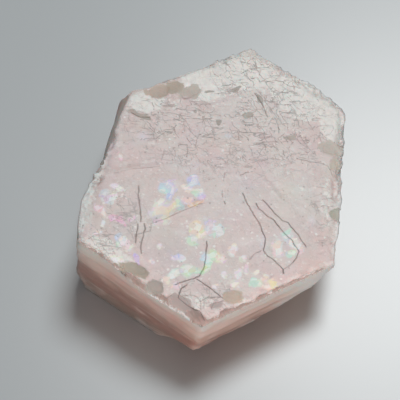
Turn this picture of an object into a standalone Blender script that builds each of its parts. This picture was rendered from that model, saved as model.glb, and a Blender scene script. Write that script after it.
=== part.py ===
"""Rough morganite: one flat six-sided beryl crystal, lying on its broken underside.

The crystal is drawn in its own frame first: the basal face is level at height zero,
u runs to the right, v runs away from the viewer, and the prism walls hang straight
down. It is then leaned a little, set at its height over the floor and broken away
below, so that it rests on one flat spot. Lists of places are in millimetres.
"""

import math

import bmesh
import bpy
from mathutils import Matrix, Vector, noise

MM = 0.001

# The basal face: its height over the floor at u = v = 0, and how far it leans to the right.
FACE_HEIGHT = 11.1 * MM
LEAN = math.radians(6.0)

# Corners of the whole prism, from the back one clockwise as seen from above.
PRISM_CORNERS = [(7.5, 26.3), (20.95, 16.3), (17.95, -8.7), (0.4, -18.6), (-16.2, -7.05), (-11.2, 17.1)]

# The rim of the basal face, broken back from the prism here and there. Each stretch
# starts at the corner that has its place in the list above.
RIM = [
    [
        (7.29, 25.96), (8.44, 25.16), (9.58, 24.26), (12.73, 22.2),
        (14.72, 21.03), (16.71, 19.86), (18.66, 18.27),
    ],
    [
        (20.86, 16.19), (20.58, 11.28), (20.16, 7.63), (19.89, 4.05),
        (19.19, -1.03), (18.69, -4.14), (18.25, -5.83),
    ],
    [(17.9, -8.63), (14.14, -10.53), (10.62, -12.6), (8.87, -13.79), (5.18, -15.67), (1.54, -17.84)],
    [
        (0.38, -18.51), (-1.28, -18.17), (-3.6, -16.6), (-7.49, -14.39),
        (-9.73, -12.21), (-12.05, -9.87), (-14.28, -8.23),
    ],
    [
        (-16.16, -7.01), (-16.25, -4.17), (-15.96, -1.12), (-14.29, 3.97),
        (-13.1, 5.79), (-12.4, 8.74), (-11.54, 12.08),
    ],
    [
        (-9.73, 16.91), (-7.5, 17.84), (-4.55, 19.34), (-1.43, 20.79),
        (1.01, 22.2), (3.62, 23.98), (6.77, 25.76),
    ],
]
RIM_STEP = 1.3 * MM

# How deep each wall stays broken back from the prism, and its growth ledges as
# (depth, outward offset). Walls are in the order of the corners they start at.
BROKEN_DEPTH = [2.4, 1.0, 0.7, 0.7, 3.0, 2.6]
LEDGES = [
    [(0.0, 0.0), (3.1, 0.5), (3.6, 0.1), (6.7, 0.5), (7.4, -0.1), (17.0, -1.0)],
    [(0.0, 0.0), (2.1, 0.05), (2.6, -0.2), (5.4, -0.1), (6.0, -0.5), (17.0, -1.2)],
    [
        (0.0, 0.0), (0.4, 0.1), (1.7, 0.2), (2.1, -0.1), (3.6, 0.1),
        (4.2, -0.2), (6.0, 0.0), (6.7, -0.3), (17.0, -0.6),
    ],
    [
        (0.0, 0.0), (0.4, 0.1), (2.1, 0.25), (2.6, 0.0), (4.8, 0.2),
        (5.4, -0.1), (8.1, 0.15), (8.8, -0.15), (17.0, -0.3),
    ],
    [(0.0, 0.0), (2.6, 0.0), (4.2, 0.1), (4.8, -0.2), (9.6, 0.0), (10.5, -0.3), (17.0, -0.9)],
    [(0.0, 0.0), (1.3, 0.3), (1.7, -0.05), (5.4, 0.5), (6.0, 0.0), (8.8, 0.3), (9.6, -0.4), (17.0, -1.2)],
]
RING_DEPTHS = [
    0.0, 0.4, 0.9, 1.3, 1.7, 2.1, 2.6, 3.1, 3.6, 4.2, 4.8,
    5.4, 6.0, 6.7, 7.4, 8.1, 8.8, 9.6, 10.5, 11.5, 17.0,
]
PRISM_BOTTOM = RING_DEPTHS[-1]
LEDGE_WANDER = 0.22 * MM

# The planes it broke along below, over the floor: a point on each and the plane's rise
# per millimetre to the right and away from the viewer.
BREAKS = [
    ("resting_spot", (0.0, 0.0, 0.0), (0.0, 0.0)),
    ("front_right_slope", (4.0, -4.0, 0.0), (0.252, -0.2485)),
    ("front_chip", (-3.4, -16.6, 0.0), (0.22, -0.55)),
    ("right_undercut", (14.8, -10.0, 4.2), (1.66, -0.62)),
    ("back_slope", (-1.0, 13.0, 0.0), (-0.06, 0.3)),
    ("back_right_slope", (13.0, 8.0, 0.0), (0.32, 0.1)),
    ("left_chip", (-15.8, -7.2, 0.0), (-2.4, 0.25)),
    ("back_left_slope", (-11.0, 8.0, 0.0), (-0.42, 0.12)),
]

# Shell-shaped breaks in the hidden walls and the underside, over the floor, as the
# middle and the three radii of the ball that fits each.
SCOOPS = [
    ((-4.0, 25.4, 5.6), (7.5, 5.6, 3.4)),
    ((24.6, 6.5, 4.6), (5.4, 6.5, 3.0)),
    ((-19.8, 7.5, 3.0), (5.8, 5.0, 3.6)),
    ((14.0, -5.5, -0.9), (8.0, 7.0, 4.6)),
    ((-3.5, 21.0, -1.9), (8.0, 5.4, 4.6)),
    ((15.5, 25.0, 4.0), (5.5, 4.5, 3.2)),
]
SCOOP_UNEVEN = 0.16

# Where the frosted skin has flaked off the basal face. The strip runs along the two
# front walls, and the flakes are (u, v, length, width, turn in degrees, depth).
STRIP_DEPTH = 0.3 * MM
STRIP_INNER = [
    (19.5, -8.2), (16.0, -9.5), (13.9, -10.7), (11.6, -11.9), (10.5, -12.4), (8.8, -13.5),
    (7.7, -13.8), (7.2, -14.6), (5.1, -15.5), (3.6, -16.0), (2.7, -16.4), (2.4, -17.1),
    (0.9, -17.6), (0.4, -17.0), (-0.8, -16.0), (-1.8, -15.4), (-2.9, -14.6), (-3.8, -14.2),
    (-4.4, -14.8), (-5.0, -14.2), (-6.7, -13.2), (-7.4, -12.9), (-8.6, -11.9), (-9.6, -11.1),
    (-10.8, -10.5), (-12.0, -9.7), (-12.6, -8.9), (-13.6, -8.3), (-15.4, -7.4), (-17.5, -6.6),
]
STRIP_OUTER = [(-19.0, -9.0), (0.4, -22.0), (21.0, -10.5)]
FLAKES = [
    (-5.9, 17.2, 3.2, 2.2, 18.0, 0.4),
    (-1.4, 17.6, 3.0, 2.0, 24.0, 0.35),
    (18.6, 9.3, 4.2, 2.2, -6.0, 0.35),
    (19.0, 6.8, 2.6, 2.0, 60.0, 0.3),
    (18.6, -1.2, 2.0, 1.9, 10.0, 0.3),
    (-8.5, -10.9, 3.8, 1.7, -18.0, 0.52),
    (-5.8, -13.4, 2.2, 2.0, -30.0, 0.46),
    (-2.7, -15.4, 3.4, 1.8, -30.0, 0.55),
    (4.2, -14.2, 2.5, 2.0, 20.0, 0.42),
    (-8.5, 13.2, 3.9, 1.0, -24.0, 0.25),
    (6.8, 14.2, 1.9, 1.1, 20.0, 0.25),
    (12.7, 10.8, 1.7, 0.9, 6.0, 0.25),
]

# The facets the surface is cut into: the longest edge, the shortest edge inside a level
# stretch, the side of the smallest triangle a merge may leave, and of one that is a sliver.
FACET = 1.8 * MM
SHORTEST = 0.5 * MM
SMALLEST = 0.2 * MM
SLIVER = 0.01 * MM
MERGE = 0.01 * MM
FACET_ROUNDS = 8
LEVEL_ANGLE = math.radians(0.2)

# Relief of the broken surfaces: how high it stands and the size of its bumps.
FRACTURE_RELIEF = 0.5 * MM
FRACTURE_SCALE = 5.5 * MM
WALL_RELIEF = 0.12 * MM
WALL_SCALE = 2.2 * MM
FACE_RELIEF = 0.07 * MM
FACE_SCALE = 3.0 * MM
NOISE_START = Vector((3.1, 7.7, 1.9))

BODY_COLOUR = (0.72, 0.56, 0.53, 1.0)


def flat(place):
    """A place given in millimetres, as a vector in metres."""
    return Vector(place) * MM


def ramp(table, depth):
    """The value of a table of (depth, value) pairs at a depth, all in millimetres."""
    for (d0, a), (d1, b) in zip(table, table[1:]):
        if depth <= d1:
            return a + (b - a) * (depth - d0) / (d1 - d0)
    return table[-1][1]


def smooth(value):
    """Eases 0 to 1, and holds there on both sides."""
    value = min(max(value, 0.0), 1.0)
    return value * value * (3.0 - 2.0 * value)


def wall_direction(wall):
    """The outward direction of a prism wall in the plane of the basal face."""
    start = Vector(PRISM_CORNERS[wall])
    end = Vector(PRISM_CORNERS[(wall + 1) % 6])
    along = (end - start).normalized()
    return Vector((-along.y, along.x))


def rim_stations():
    """The rim in short steps: its place, its place on the whole prism, its wall, and if it is a corner."""
    stations = []
    for wall, stretch in enumerate(RIM):
        points = [flat(p) for p in stretch + [RIM[(wall + 1) % 6][0]]]
        start = flat(PRISM_CORNERS[wall])
        end = flat(PRISM_CORNERS[(wall + 1) % 6])
        total = sum((b - a).length for a, b in zip(points, points[1:]))
        gone = 0.0
        for a, b in zip(points, points[1:]):
            length = (b - a).length
            steps = max(1, round(length / RIM_STEP))
            for step in range(steps):
                share = (gone + length * step / steps) / total
                corner = gone == 0.0 and step == 0
                stations.append((a.lerp(b, step / steps), start.lerp(end, share), wall, corner))
            gone += length
    return stations


def ledge_offset(wall, corner, depth):
    """How far a station moves outward at a depth, off its wall or off both walls that meet at a corner."""
    direction = wall_direction(wall)
    amount = ramp(LEDGES[wall], depth)
    if not corner:
        return direction * amount * MM
    before = wall_direction(wall - 1)
    meeting = Matrix((before, direction))
    return meeting.inverted() @ Vector((ramp(LEDGES[wall - 1], depth), amount)) * MM


def ring(bm, stations, depth):
    """One closed ring of edges around the crystal at a depth."""
    verts = []
    for rim, prism, wall, corner in stations:
        broken = BROKEN_DEPTH[wall]
        if corner:
            broken = 0.5 * (broken + BROKEN_DEPTH[wall - 1])
        place = rim.lerp(prism, smooth(depth / broken)) + ledge_offset(wall, corner, depth)
        wander = noise.noise(Vector((place.x, place.y, depth * MM)) / WALL_SCALE * 0.6 + NOISE_START)
        sunk = depth * MM + wander * LEDGE_WANDER * (0.0 < depth < PRISM_BOTTOM)
        verts.append(bm.verts.new((place.x, place.y, -sunk)))
    return [bm.edges.new((a, b)) for a, b in zip(verts, verts[1:] + verts[:1])]


def whole_prism():
    """The crystal before it broke: rings down its walls, closed above and below."""
    bm = bmesh.new()
    stations = rim_stations()
    rings = [ring(bm, stations, depth) for depth in RING_DEPTHS]
    for upper, lower in zip(rings, rings[1:]):
        bmesh.ops.bridge_loops(bm, edges=upper + lower)
    bmesh.ops.contextual_create(bm, geom=rings[0])
    bmesh.ops.contextual_create(bm, geom=rings[-1])
    bmesh.ops.recalc_face_normals(bm, faces=bm.faces)
    return bm


def set_on_floor(bm):
    """Leans the crystal to the right and lifts its basal face to its height."""
    bmesh.ops.rotate(bm, cent=(0.0, 0.0, 0.0), matrix=Matrix.Rotation(LEAN, 3, "Y"), verts=bm.verts)
    bmesh.ops.translate(bm, vec=(0.0, 0.0, FACE_HEIGHT), verts=bm.verts)


def break_underside(bm):
    """Cuts the crystal along each plane of its underside and closes the cut."""
    for _name, point, rise in BREAKS:
        geometry = bm.verts[:] + bm.edges[:] + bm.faces[:]
        outward = Vector((rise[0], rise[1], -1.0)).normalized()
        cut = bmesh.ops.bisect_plane(
            bm, geom=geometry, dist=1e-7, plane_co=flat(point), plane_no=outward, clear_outer=True
        )
        edges = [item for item in cut["geom_cut"] if isinstance(item, bmesh.types.BMEdge)]
        bmesh.ops.contextual_create(bm, geom=edges)
    bmesh.ops.recalc_face_normals(bm, faces=bm.faces)


def new_object(name, bm, collection):
    """Puts a bmesh in a new object of a collection."""
    mesh = bpy.data.meshes.new(name)
    bm.to_mesh(mesh)
    bm.free()
    obj = bpy.data.objects.new(name, mesh)
    collection.objects.link(obj)
    return obj


def mark_as_cutter(obj):
    """Keeps a cutter out of the render and shows it as wire."""
    obj.hide_render = True
    obj.display_type = "WIRE"


def scoop_cutters(collection):
    """A squashed, uneven ball for each shell-shaped break."""
    cutters = []
    for number, (middle, radii) in enumerate(SCOOPS):
        bm = bmesh.new()
        bmesh.ops.create_icosphere(bm, subdivisions=3, radius=1.0)
        for vert in bm.verts:
            vert.co *= 1.0 + SCOOP_UNEVEN * noise.noise(1.6 * vert.co + (1.0 + number) * NOISE_START)
        bmesh.ops.scale(bm, vec=flat(radii), verts=bm.verts)
        bmesh.ops.translate(bm, vec=flat(middle), verts=bm.verts)
        cutter = new_object(f"scoop_{number + 1}", bm, collection)
        mark_as_cutter(cutter)
        cutters.append(cutter)
    return cutters


def on_crystal(bm):
    """Takes a cutter from the crystal's own frame to its place over the floor."""
    set_on_floor(bm)
    bmesh.ops.recalc_face_normals(bm, faces=bm.faces)


def outline_cutter(name, outline, depth, collection):
    """A cutter with an outline in the basal face, which takes material down to a depth."""
    bm = bmesh.new()
    above = 2.0 * MM
    face = bm.faces.new([bm.verts.new((p.x, p.y, -depth)) for p in outline])
    grown = bmesh.ops.extrude_face_region(bm, geom=[face])
    raised = [item for item in grown["geom"] if isinstance(item, bmesh.types.BMVert)]
    bmesh.ops.translate(bm, vec=(0.0, 0.0, depth + above), verts=raised)
    on_crystal(bm)
    cutter = new_object(name, bm, collection)
    mark_as_cutter(cutter)
    return cutter


def flake_outline(u, v, length, width, turn):
    """An uneven outline for a flaked spot: an oval with corners pushed in and out."""
    outline = []
    sides = 8
    for side in range(sides):
        angle = 2.0 * math.pi * side / sides
        spread = 1.0 + 0.55 * noise.noise(Vector((u, v, 1.7 * side)))
        local = Vector((0.5 * length * math.cos(angle), 0.5 * width * math.sin(angle))) * spread
        turned = Matrix.Rotation(math.radians(turn), 2) @ local
        outline.append(flat((u, v)) + turned * MM)
    return outline


def flaked_cutters(collection):
    """The cutters for the strip along the front walls and for each flaked spot."""
    strip = [flat(p) for p in STRIP_INNER + STRIP_OUTER]
    cutters = [outline_cutter("front_strip", strip, STRIP_DEPTH, collection)]
    for number, (u, v, length, width, turn, depth) in enumerate(FLAKES):
        outline = flake_outline(u, v, length, width, turn)
        cutters.append(outline_cutter(f"flake_{number + 1}", outline, depth * MM, collection))
    return cutters


def cut_away(crystal, cutters):
    """Cuts with every cutter and keeps the result as the crystal's own mesh."""
    for cutter in cutters:
        modifier = crystal.modifiers.new(cutter.name, "BOOLEAN")
        modifier.operation = "DIFFERENCE"
        modifier.solver = "EXACT"
        modifier.object = cutter
    graph = bpy.context.evaluated_depsgraph_get()
    cut_mesh = bpy.data.meshes.new_from_object(crystal.evaluated_get(graph))
    crystal.modifiers.clear()
    whole = crystal.data
    crystal.data = cut_mesh
    bpy.data.meshes.remove(whole)
    cut_mesh.name = crystal.name


def is_level(edge):
    """Whether the two faces of an edge are both open and lie in one plane, near enough."""
    if not edge.is_manifold or min(face.calc_area() for face in edge.link_faces) < SLIVER * SLIVER:
        return False
    return edge.calc_face_angle() < LEVEL_ANGLE


def split_long_edges(bm):
    """Halves each long edge, the longest first, and joins its middle to the corners across from it."""
    bm.edges.index_update()
    long_edges = [edge for edge in bm.edges if edge.calc_length() > FACET]
    long_edges.sort(key=lambda edge: (-edge.calc_length(), edge.index))
    for edge in long_edges:
        _edge, middle = bmesh.utils.edge_split(edge, edge.verts[0], 0.5)
        beside = neighbours(middle)
        for face in list(middle.link_faces):
            across = [vert for vert in face.verts if vert is not middle and vert not in beside]
            bmesh.utils.face_split(face, middle, across[0])


def neighbours(vert):
    """The vertices one edge away."""
    return {edge.other_vert(vert) for edge in vert.link_edges}


def keeps_faces(vert, onto):
    """Whether the faces around a vertex stay open and face the same way if it slides onto a neighbour."""
    for face in vert.link_faces:
        if onto in face.verts:
            continue
        a, b, c = [onto.co if corner is vert else corner.co for corner in face.verts]
        if (b - a).cross(c - a).dot(face.normal) < SMALLEST * SMALLEST:
            return False
    return True


def merge_short_edges(bm, inside):
    """Slides vertices inside level stretches onto a neighbour that is too close."""
    bm.normal_update()
    moved = {}
    settled = set()
    for vert in inside:
        around = neighbours(vert)
        near = [other for other in around if (other.co - vert.co).length < SHORTEST]
        if not near or vert in settled or len(around & neighbours(near[0])) != 2:
            continue
        if keeps_faces(vert, near[0]):
            moved[vert] = near[0]
            settled |= around | neighbours(near[0])
    bmesh.ops.weld_verts(bm, targetmap=moved)


def cut_into_facets(bm):
    """Splits the surface into even facets, small enough to carry its relief."""
    bmesh.ops.remove_doubles(bm, verts=bm.verts, dist=MERGE)
    bmesh.ops.dissolve_limit(bm, angle_limit=LEVEL_ANGLE, verts=bm.verts, edges=bm.edges)
    bmesh.ops.triangulate(bm, faces=bm.faces)
    for _round in range(FACET_ROUNDS):
        split_long_edges(bm)
        level = [edge for edge in bm.edges if is_level(edge)]
        bmesh.ops.beautify_fill(bm, faces=bm.faces, edges=level, method="AREA")
        inside = [vert for vert in bm.verts if all(is_level(edge) for edge in vert.link_edges)]
        bmesh.ops.smooth_vert(
            bm, verts=inside, factor=0.5, use_axis_x=True, use_axis_y=True, use_axis_z=True
        )
        merge_short_edges(bm, inside)


def basal_depth(place):
    """How far a place lies below the plane of the basal face."""
    up = Vector((math.sin(LEAN), 0.0, math.cos(LEAN)))
    return (Vector((0.0, 0.0, FACE_HEIGHT)) - place).dot(up)


def roughen(bm):
    """Gives the walls and the broken underside their relief, and the basal face a slight one."""
    up = Vector((math.sin(LEAN), 0.0, math.cos(LEAN)))
    bm.normal_update()
    for vert in bm.verts:
        place = vert.co.copy()
        depth = basal_depth(place)
        below = smooth(depth / (1.2 * MM))
        over_floor = smooth(place.z / (1.3 * MM))
        broken = smooth((-vert.normal.z - 0.35) / 0.3) * over_floor
        wall = below * over_floor * (1.0 - broken)
        fracture = noise.fractal(place / FRACTURE_SCALE + NOISE_START, 0.9, 2.1, 3)
        wall_shift = noise.noise_vector(place / WALL_SCALE - NOISE_START)
        face_shift = noise.noise(place / FACE_SCALE + 2.0 * NOISE_START)
        vert.co += vert.normal * fracture * FRACTURE_RELIEF * broken
        vert.co += wall_shift * WALL_RELIEF * wall
        vert.co -= up * abs(face_shift) * FACE_RELIEF * (1.0 - below)


def centre_on_base(bm):
    """Moves the crystal so that the middle of its base box is the origin."""
    xs = [vert.co.x for vert in bm.verts]
    ys = [vert.co.y for vert in bm.verts]
    lowest = min(vert.co.z for vert in bm.verts)
    middle = Vector((0.5 * (min(xs) + max(xs)), 0.5 * (min(ys) + max(ys)), lowest))
    bmesh.ops.translate(bm, vec=-middle, verts=bm.verts)


def crystal_material():
    """Pale pink beryl."""
    material = bpy.data.materials.new("pink_beryl")
    material.use_nodes = True
    shader = material.node_tree.nodes["Principled BSDF"]
    shader.inputs["Base Color"].default_value = BODY_COLOUR
    shader.inputs["Roughness"].default_value = 0.35
    shader.inputs["Metallic"].default_value = 0.0
    shader.inputs["IOR"].default_value = 1.58
    return material


def new_collection(name):
    collection = bpy.data.collections.new(name)
    bpy.context.scene.collection.children.link(collection)
    return collection


def main():
    for obj in list(bpy.data.objects):
        bpy.data.objects.remove(obj)
    pieces = new_collection("rough_morganite")
    cutters = new_collection("cutters")

    bm = whole_prism()
    set_on_floor(bm)
    break_underside(bm)
    crystal = new_object("crystal", bm, pieces)
    cut_away(crystal, scoop_cutters(cutters) + flaked_cutters(cutters))

    bm = bmesh.new()
    bm.from_mesh(crystal.data)
    cut_into_facets(bm)
    roughen(bm)
    centre_on_base(bm)
    bm.to_mesh(crystal.data)
    bm.free()
    crystal.data.materials.clear()
    crystal.data.materials.append(crystal_material())


main()
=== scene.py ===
"""Rough morganite: the looks of one flat crystal of pink beryl, lying on a plain floor.

The crystal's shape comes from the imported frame. Here its surface is made finer, gets its
cracks, steps and worn rim, and a cloudy pink, half see-through finish with a frosted,
crazed skin on top. Lists of places on the basal face are in millimetres: u runs to the
right and v away from the viewer, in the plane of the face.
"""

import math

import bmesh
import bpy
import numpy as np
from bpy.props import FloatProperty, FloatVectorProperty, PointerProperty
from mathutils import Matrix, Vector, noise


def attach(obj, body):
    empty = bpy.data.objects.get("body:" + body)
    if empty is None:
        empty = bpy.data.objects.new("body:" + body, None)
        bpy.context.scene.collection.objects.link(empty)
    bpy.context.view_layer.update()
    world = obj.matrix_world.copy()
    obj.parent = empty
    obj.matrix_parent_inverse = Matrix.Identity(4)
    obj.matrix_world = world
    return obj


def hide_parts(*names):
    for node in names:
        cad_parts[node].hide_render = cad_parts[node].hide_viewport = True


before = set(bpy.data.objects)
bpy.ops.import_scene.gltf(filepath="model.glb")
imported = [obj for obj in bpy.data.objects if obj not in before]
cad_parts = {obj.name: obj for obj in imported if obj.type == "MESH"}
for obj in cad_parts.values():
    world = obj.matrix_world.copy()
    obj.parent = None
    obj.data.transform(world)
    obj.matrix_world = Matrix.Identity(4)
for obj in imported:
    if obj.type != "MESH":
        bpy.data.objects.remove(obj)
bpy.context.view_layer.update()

bl_info = {
    "name": "Rough Morganite",
    "version": (1, 0, 0),
    "blender": (4, 5, 0),
    "location": "View3D > Sidebar > Morganite",
    "description": "Dresses a flat crystal of rough pink beryl and sets its stage",
    "category": "Object",
}

MM = 0.001
NODE = "crystal"
BODY = "root"
SLOT = "pink_beryl"

# The basal face: the place where the middle of the picture falls on it, its lean, the turn
# that levels it, and the way it faces.
FACE_CENTRE = Vector((-1.854, -4.030, 11.1)) * MM
FACE_LEAN = math.radians(6.0)
FACE_TURN = Matrix.Rotation(-FACE_LEAN, 3, "Y")
FACE_UP = np.array((math.sin(FACE_LEAN), 0.0, math.cos(FACE_LEAN)))

# The six corners of the whole prism, from the back one clockwise as seen from above.
FACE_CORNERS = [(7.5, 26.3), (20.95, 16.3), (17.95, -8.7), (0.4, -18.6), (-16.2, -7.05), (-11.2, 17.1)]

# Open cracks in the basal face, as (half width and depth, route).
WIDE = (0.085, 0.055)
FINE = (0.07, 0.03)
FAINT = (0.10, 0.011)
CRACKS = [
    (WIDE, [(5.8, 1.4), (6.3, 0.1), (7.2, -1.7), (7.9, -3.1), (8.4, -4.3), (8.7, -5.5), (8.5, -7.2),
            (9.0, -8.0), (10.0, -8.7), (11.0, -9.8), (11.0, -10.5)]),
    (WIDE, [(7.6, -0.1), (8.1, -1.0), (9.1, -1.9), (10.1, -2.6), (10.7, -3.7), (11.4, -4.5), (12.2, -5.3),
            (12.7, -6.2), (13.2, -7.1), (12.8, -8.1), (12.3, -8.8)]),
    (WIDE, [(8.6, 0.5), (9.7, -0.9), (10.5, -1.9), (11.1, -2.5), (11.9, -2.8), (12.5, -3.7), (13.2, -4.6),
            (14.2, -6.3)]),
    (FINE, [(12.3, -8.8), (11.8, -9.3), (11.1, -9.8)]),
    (FINE, [(6.6, -8.6), (7.3, -7.7), (8.1, -7.3)]),
    (WIDE, [(-8.3, 1.7), (-8.3, 0.0), (-8.1, -1.4), (-7.9, -2.8), (-7.9, -3.8)]),
    (WIDE, [(-7.4, -4.0), (-7.3, -4.9), (-7.6, -6.1), (-7.8, -7.2), (-7.7, -8.5)]),
    (WIDE, [(-8.3, -4.2), (-8.4, -5.5), (-8.5, -7.0)]),
    (WIDE, [(0.9, -6.3), (0.7, -9.1), (0.5, -10.2), (-0.1, -11.4), (-0.8, -11.8), (-2.1, -12.3),
            (-3.2, -12.8)]),
    (WIDE, [(-0.4, -11.9), (1.0, -12.9), (2.3, -13.9), (3.0, -14.5)]),
    (WIDE, [(-1.7, -12.8), (-2.5, -13.4), (-2.8, -14.6), (-2.1, -15.4), (-0.8, -16.2), (-0.1, -16.4),
            (0.6, -17.7)]),
    (FINE, [(-2.3, -14.4), (-1.3, -14.2), (-0.4, -14.5), (0.1, -15.0), (0.1, -16.1)]),
    (FINE, [(0.3, -14.8), (1.2, -14.4), (2.6, -14.4)]),
    (FINE, [(1.5, -16.1), (1.8, -15.2), (3.0, -14.9)]),
    (FAINT, [(-6.3, -3.9), (-4.5, -3.1), (-2.7, -2.0), (-0.1, -0.6), (0.6, -0.4)]),
    (FAINT, [(-11.7, 3.5), (-9.3, 4.3), (-7.5, 4.6), (-5.7, 4.9)]),
    (FINE, [(3.4, 4.5), (3.2, 3.2)]),
    (FINE, [(3.0, 1.7), (3.1, 0.7)]),
    (WIDE, [(3.3, 0.0), (3.4, -0.4)]),
    (FINE, [(5.6, 4.3), (6.3, 4.7), (7.2, 5.0)]),
    (WIDE, [(7.8, 18.0), (8.5, 16.8), (9.6, 14.1)]),
    (FINE, [(7.5, 9.5), (8.9, 9.8), (10.8, 10.1)]),
    (FINE, [(8.5, 10.6), (10.1, 10.8)]),
    (FINE, [(2.1, 17.5), (3.4, 17.8), (4.6, 18.5)]),
    (FINE, [(5.8, 24.0), (6.2, 22.6)]),
    (FINE, [(7.7, 24.3), (8.3, 23.8), (9.0, 23.0)]),
    (FINE, [(13.5, 7.4), (15.3, 7.1), (17.0, 6.9), (17.8, 6.5), (18.2, 5.7), (18.4, 4.9), (18.9, 4.2)]),
    (WIDE, [(-9.6, 13.5), (-8.4, 12.8), (-7.0, 12.9)]),
    (FINE, [(-5.5, 13.8), (-4.2, 13.8), (-2.8, 13.5), (-1.4, 13.4)]),
    (FINE, [(-7.5, 9.4), (-6.0, 9.5), (-4.7, 10.7)]),
    (FINE, [(-1.8, 8.6), (-1.7, 7.5), (-1.9, 6.7)]),
    (FINE, [(-5.3, 6.0), (-4.8, 7.8)]),
    (FINE, [(-8.5, -5.8), (-6.6, -5.1), (-6.5, -4.2)]),
    (FINE, [(14.1, 11.3), (14.7, 10.2), (15.4, 8.9)]),
    (FINE, [(10.7, 14.0), (11.1, 12.3), (11.1, 11.5)]),
]

# How cracks stray from their routes, as the size of the bends in metres and their reach, and how
# dark they are along their length: size of the stretches, usual darkness, swing and least.
CRACK_WANDER = (0.7 * MM, 0.10)
CRACK_STRETCH = 1.1 * MM
CRACK_DARKNESS = (0.62, 0.55, 0.25)

# Low steps in the skin that only catch the light, as (height, route), and how wide they fade.
STEP_WIDTH = 0.9
STEPS = [
    (0.05, [(-6.3, -3.9), (-4.5, -3.1), (-2.7, -2.0), (-0.1, -0.6)]),
    (0.03, [(-11.7, 3.5), (-9.3, 4.3), (-7.5, 4.6), (-5.7, 4.9)]),
    (0.03, [(8.5, 3.7), (9.3, 2.8), (10.1, 1.6), (10.8, 0.7)]),
]

# Where the skin is frosted white, as (u, v, radius along, radius across, turn, strength).
FROST = [
    (6.9, 21.6, 6.5, 5.0, 0.0, 1.0),
    (14.3, 17.6, 7.0, 4.6, -35.0, 1.0),
    (18.6, 13.4, 2.4, 4.8, 0.0, 1.0),
    (-7.6, 15.4, 3.8, 2.6, 10.0, 0.9),
    (1.6, 17.8, 4.2, 2.4, 20.0, 0.75),
    (0.6, 20.2, 5.6, 2.8, 27.0, 0.9),
    (-12.6, -7.9, 4.2, 2.0, -30.0, 0.85),
    (-15.2, -1.7, 1.1, 5.0, 8.0, 0.6),
    (-9.8, -9.8, 2.6, 1.4, -35.0, 0.9),
    (-0.4, -15.0, 3.2, 2.0, -10.0, 0.6),
    (17.4, 1.0, 1.7, 6.9, 0.0, 0.55),
    (5.2, -12.0, 4.9, 3.0, 10.0, 0.45),
    (9.0, 15.5, 10.0, 6.0, -15.0, 0.42),
    (-5.0, 13.5, 8.0, 3.5, 5.0, 0.36),
    (13.0, 4.0, 6.0, 9.0, 0.0, 0.30),
]

# Where the skin is finely crazed, in the same way.
CRAZING = [
    (9.0, 20.0, 11.0, 7.0, -20.0, 1.0),
    (11.0, 12.0, 11.0, 8.0, 0.0, 0.9),
    (-3.0, 12.0, 10.0, 7.0, 0.0, 0.9),
    (3.0, 9.0, 15.0, 7.0, 0.0, 0.55),
    (-10.5, -3.0, 4.0, 6.0, 0.0, 0.6),
    (1.0, -14.5, 6.5, 3.5, 0.0, 0.6),
    (-13.0, -7.0, 4.0, 3.0, -30.0, 0.7),
    (16.5, -1.0, 3.0, 7.0, 0.0, 0.5),
]

# Bare spots where a flake of skin is gone, as (u, v, radius along, radius across, turn, colour); the last is
# only a near-black dot by the left rim.
TAN = (0.65, 0.60, 0.54)
ROSE_TAN = (0.55, 0.465, 0.39)
OLIVE = (0.47, 0.435, 0.35)
MAUVE = (0.55, 0.48, 0.46)
SMEAR = (0.46, 0.42, 0.38)
BARE_SPOTS = [
    (-5.9, 17.3, 1.7, 1.3, 18.0, ROSE_TAN),
    (-3.5, 18.2, 1.5, 1.0, 20.0, (0.47, 0.41, 0.33)),
    (-1.4, 17.6, 1.6, 1.1, 24.0, (0.60, 0.54, 0.48)),
    (18.7, 9.3, 2.3, 1.2, -6.0, TAN),
    (19.0, 6.8, 1.3, 0.9, -50.0, (0.65, 0.58, 0.50)),
    (18.8, -1.2, 1.1, 1.0, 10.0, (0.48, 0.49, 0.41)),
    (-8.5, -10.9, 2.0, 0.9, -18.0, OLIVE),
    (-5.8, -13.4, 1.2, 1.1, -30.0, (0.46, 0.44, 0.40)),
    (-2.7, -15.4, 1.8, 1.0, -30.0, MAUVE),
    (2.0, -15.6, 1.0, 0.5, 20.0, MAUVE),
    (4.2, -14.2, 1.35, 1.05, 20.0, (0.66, 0.58, 0.48)),
    (-8.5, 13.2, 2.0, 0.5, -24.0, (0.52, 0.46, 0.41)),
    (6.8, 14.2, 0.9, 0.5, 20.0, (0.56, 0.51, 0.46)),
    (12.7, 10.8, 0.9, 0.45, 6.0, (0.57, 0.51, 0.46)),
    (5.2, 18.5, 1.1, 0.28, 24.0, SMEAR),
    (1.3, 17.7, 0.7, 0.25, 0.0, SMEAR),
    (8.5, 17.0, 0.6, 0.4, -50.0, SMEAR),
    (2.6, 12.9, 0.45, 0.5, 0.0, SMEAR),
    # A near-black dot, darker than any bare spot, where a dark bit shows by the left rim.
    (-13.7, 5.3, 0.35, 0.5, 0.0, (0.13, 0.13, 0.11)),
]
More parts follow.
